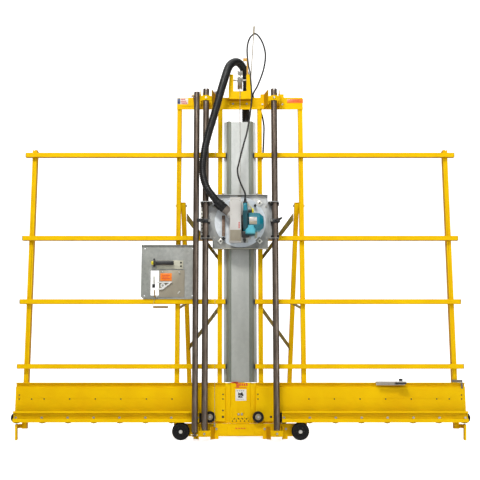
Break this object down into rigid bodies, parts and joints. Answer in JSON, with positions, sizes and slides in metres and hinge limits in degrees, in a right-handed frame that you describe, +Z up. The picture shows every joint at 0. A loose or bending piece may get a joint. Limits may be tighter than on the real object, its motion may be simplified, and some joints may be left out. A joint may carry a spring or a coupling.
{
  "type": "panel saw",
  "caption": "Vertical panel saw with a leaning rack, roller channels, guide tubes and a counterweighted carriage that carries a turning saw.",
  "frame": {"origin": "on the floor, at the centre of the bounding box seen from above", "axes": "+X along the rack to the operator's right, +Y to the back of the machine, +Z up"},
  "size_m": [3.04, 1.0252, 2.8589],
  "materials": {
    "yellow_paint": "semi-gloss powder coat",
    "galvanised": "galvanised sheet with faint spangle",
    "pipe_steel": "oiled mill-finish pipe with brown streaks",
    "zinc_plated": "bright zinc plating",
    "dark_steel": "blackened steel",
    "black_rubber": "satin black",
    "black_plastic": "moulded, fine texture",
    "teal_plastic": "moulded, semi-gloss",
    "grey_paint": "light grey satin",
    "blade_steel": "ground saw plate",
    "gold_paint": "aged yellow paint",
    "tan_plastic": "fibreglass rod",
    "white_paint": "white enamel"
  },
  "bodies": {
    "frame": {"posts": "yellow_paint", "top_beam": "yellow_paint", "base_beam": "yellow_paint", "base_cover": "yellow_paint", "dust_channel": "galvanised", "guide_tubes": "pipe_steel", "tube_brackets": "yellow_paint", "wing_panels": "yellow_paint", "roller_channels": "yellow_paint", "rack_rails": "yellow_paint", "rail_caps": "black_rubber", "end_feet": "yellow_paint", "pulley_bracket": "yellow_paint", "hose_arm": "gold_paint", "cord_whip": "tan_plastic", "rear_legs": "yellow_paint", "braces": "yellow_paint", "frame_bolts": "zinc_plated", "axles": "zinc_plated", "guide_wire": "zinc_plated", "counterweight_tube": "zinc_plated", "lift_cable": "zinc_plated", "hose": "black_rubber", "cord": "black_rubber", "spare_insert": "galvanised"},
    "carriage": {"carriage_plate": "galvanised", "carriage_bearings": "dark_steel"},
    "turntable": {"turntable": "galvanised", "saw_body": "teal_plastic", "dust_shroud": "grey_paint"},
    "blade": {"saw_blade": "blade_steel"},
    "trigger": {"saw_trigger": "black_plastic"},
    "index_pin": {"index_pin": "black_plastic"},
    "lock_left": {"lock_left": "black_plastic"},
    "lock_right": {"lock_right": "black_plastic"},
    "pulley": {"pulley": "zinc_plated"},
    "counterweight": {"counterweight": "dark_steel"},
    "hold_down_bar": {"hold_down_bar": "pipe_steel"},
    "knife_arm": {"spare_knife": "white_paint"},
    "material_stop": {"material_stop": "zinc_plated"},
    "wheel_left": {"wheel_left": "black_rubber"},
    "wheel_right": {"wheel_right": "black_rubber"},
    "roller_left_1": {"roller_left_1": "black_rubber"},
    "roller_left_2": {"roller_left_2": "black_rubber"},
    "roller_left_3": {"roller_left_3": "black_rubber"},
    "roller_left_4": {"roller_left_4": "black_rubber"},
    "roller_left_5": {"roller_left_5": "black_rubber"},
    "roller_left_6": {"roller_left_6": "black_rubber"},
    "roller_left_7": {"roller_left_7": "black_rubber"},
    "roller_left_8": {"roller_left_8": "black_rubber"},
    "roller_left_9": {"roller_left_9": "black_rubber"},
    "roller_right_1": {"roller_right_1": "black_rubber"},
    "roller_right_2": {"roller_right_2": "black_rubber"},
    "roller_right_3": {"roller_right_3": "black_rubber"},
    "roller_right_4": {"roller_right_4": "black_rubber"},
    "roller_right_5": {"roller_right_5": "black_rubber"},
    "roller_right_6": {"roller_right_6": "black_rubber"},
    "roller_right_7": {"roller_right_7": "black_rubber"},
    "roller_right_8": {"roller_right_8": "black_rubber"},
    "roller_right_9": {"roller_right_9": "black_rubber"}
  },
  "joints": [
    {"name": "carriage_slide", "type": "slide", "parent": "frame", "child": "carriage", "axis": [0, 0.1736, 0.9848], "range_m": [-1.182, 0.588], "deforming": ["hose", "cord", "lift_cable"]},
    {"name": "pulley_spin", "type": "hinge", "parent": "frame", "child": "pulley", "pos_m": [0, 0.03857, 2.45796], "axis": [1, 0, 0], "range_deg": [-545, 1094]},
    {"name": "counterweight_slide", "type": "slide", "parent": "frame", "child": "counterweight", "axis": [0, 0.1736, 0.9848], "range_m": [-0.589, 1.183]},
    {"name": "insert_turn", "type": "hinge", "parent": "carriage", "child": "turntable", "pos_m": [0, -0.20245, 1.44238], "axis": [0, 0.9848, -0.1736], "range_deg": [0, 90]},
    {"name": "blade_spin", "type": "hinge", "parent": "turntable", "child": "blade", "pos_m": [-0.022, -0.23622, 1.41788], "axis": [1, 0, 0], "continuous": true},
    {"name": "hold_down_press", "type": "hinge", "parent": "frame", "child": "hold_down_bar", "pos_m": [-0.301, -0.48813, 0.04679], "axis": [1, 0, 0], "range_deg": [-1.5, 0]},
    {"name": "index_pin_push", "type": "slide", "parent": "turntable", "child": "index_pin", "axis": [0, 0.9848, -0.1736], "range_m": [0, 0.0032]},
    {"name": "knife_swing", "type": "hinge", "parent": "frame", "child": "knife_arm", "pos_m": [-0.528, -0.23264, 1.00912], "axis": [0, 0.9848, -0.1736], "range_deg": [-20, 25]},
    {"name": "lock_left_turn", "type": "hinge", "parent": "carriage", "child": "lock_left", "pos_m": [-0.253, -0.23002, 1.44725], "axis": [0, 0.9848, -0.1736], "range_deg": [0, 60]},
    {"name": "lock_right_turn", "type": "hinge", "parent": "carriage", "child": "lock_right", "pos_m": [0.253, -0.23002, 1.44725], "axis": [0, 0.9848, -0.1736], "range_deg": [-45, 30]},
    {"name": "material_stop_slide", "type": "slide", "parent": "frame", "child": "material_stop", "axis": [1, 0, 0], "range_m": [-0.64, 0.35]},
    {"name": "trigger_pull", "type": "slide", "parent": "turntable", "child": "trigger", "axis": [0, -0.9848, 0.1736], "range_m": [0, 0.004], "stiffness_N_per_m": 300},
    {"name": "wheel_left_spin", "type": "hinge", "parent": "frame", "child": "wheel_left", "pos_m": [-0.3945, -0.4185, 0.058], "axis": [0, 1, 0], "continuous": true},
    {"name": "wheel_right_spin", "type": "hinge", "parent": "frame", "child": "wheel_right", "pos_m": [0.3945, -0.4185, 0.058], "axis": [0, 1, 0], "continuous": true},
    {"name": "roller_left_1_spin", "type": "hinge", "parent": "frame", "child": "roller_left_1", "pos_m": [-0.203, -0.39743, 0.14655], "axis": [0, 0.9848, -0.1736], "continuous": true},
    {"name": "roller_left_2_spin", "type": "hinge", "parent": "frame", "child": "roller_left_2", "pos_m": [-0.286, -0.3983, 0.14163], "axis": [0, 0.9848, -0.1736], "continuous": true},
    {"name": "roller_left_3_spin", "type": "hinge", "parent": "frame", "child": "roller_left_3", "pos_m": [-0.457, -0.3983, 0.14163], "axis": [0, 0.9848, -0.1736], "continuous": true},
    {"name": "roller_left_4_spin", "type": "hinge", "parent": "frame", "child": "roller_left_4", "pos_m": [-0.628, -0.3983, 0.14163], "axis": [0, 0.9848, -0.1736], "continuous": true},
    {"name": "roller_left_5_spin", "type": "hinge", "parent": "frame", "child": "roller_left_5", "pos_m": [-0.799, -0.3983, 0.14163], "axis": [0, 0.9848, -0.1736], "continuous": true},
    {"name": "roller_left_6_spin", "type": "hinge", "parent": "frame", "child": "roller_left_6", "pos_m": [-0.97, -0.3983, 0.14163], "axis": [0, 0.9848, -0.1736], "continuous": true},
    {"name": "roller_left_7_spin", "type": "hinge", "parent": "frame", "child": "roller_left_7", "pos_m": [-1.141, -0.3983, 0.14163], "axis": [0, 0.9848, -0.1736], "continuous": true},
    {"name": "roller_left_8_spin", "type": "hinge", "parent": "frame", "child": "roller_left_8", "pos_m": [-1.312, -0.3983, 0.14163], "axis": [0, 0.9848, -0.1736], "continuous": true},
    {"name": "roller_left_9_spin", "type": "hinge", "parent": "frame", "child": "roller_left_9", "pos_m": [-1.483, -0.3983, 0.14163], "axis": [0, 0.9848, -0.1736], "continuous": true},
    {"name": "roller_right_1_spin", "type": "hinge", "parent": "frame", "child": "roller_right_1", "pos_m": [0.117, -0.39743, 0.14655], "axis": [0, 0.9848, -0.1736], "continuous": true},
    {"name": "roller_right_2_spin", "type": "hinge", "parent": "frame", "child": "roller_right_2", "pos_m": [0.286, -0.3983, 0.14163], "axis": [0, 0.9848, -0.1736], "continuous": true},
    {"name": "roller_right_3_spin", "type": "hinge", "parent": "frame", "child": "roller_right_3", "pos_m": [0.457, -0.3983, 0.14163], "axis": [0, 0.9848, -0.1736], "continuous": true},
    {"name": "roller_right_4_spin", "type": "hinge", "parent": "frame", "child": "roller_right_4", "pos_m": [0.628, -0.3983, 0.14163], "axis": [0, 0.9848, -0.1736], "continuous": true},
    {"name": "roller_right_5_spin", "type": "hinge", "parent": "frame", "child": "roller_right_5", "pos_m": [0.799, -0.3983, 0.14163], "axis": [0, 0.9848, -0.1736], "continuous": true},
    {"name": "roller_right_6_spin", "type": "hinge", "parent": "frame", "child": "roller_right_6", "pos_m": [0.97, -0.3983, 0.14163], "axis": [0, 0.9848, -0.1736], "continuous": true},
    {"name": "roller_right_7_spin", "type": "hinge", "parent": "frame", "child": "roller_right_7", "pos_m": [1.141, -0.3983, 0.14163], "axis": [0, 0.9848, -0.1736], "continuous": true},
    {"name": "roller_right_8_spin", "type": "hinge", "parent": "frame", "child": "roller_right_8", "pos_m": [1.312, -0.3983, 0.14163], "axis": [0, 0.9848, -0.1736], "continuous": true},
    {"name": "roller_right_9_spin", "type": "hinge", "parent": "frame", "child": "roller_right_9", "pos_m": [1.483, -0.3983, 0.14163], "axis": [0, 0.9848, -0.1736], "continuous": true}
  ],
  "couplings": [
    {"joint": "pulley_spin", "follows": "carriage_slide", "rad_per_m": -16.129},
    {"joint": "counterweight_slide", "follows": "carriage_slide", "ratio": -1}
  ]
}
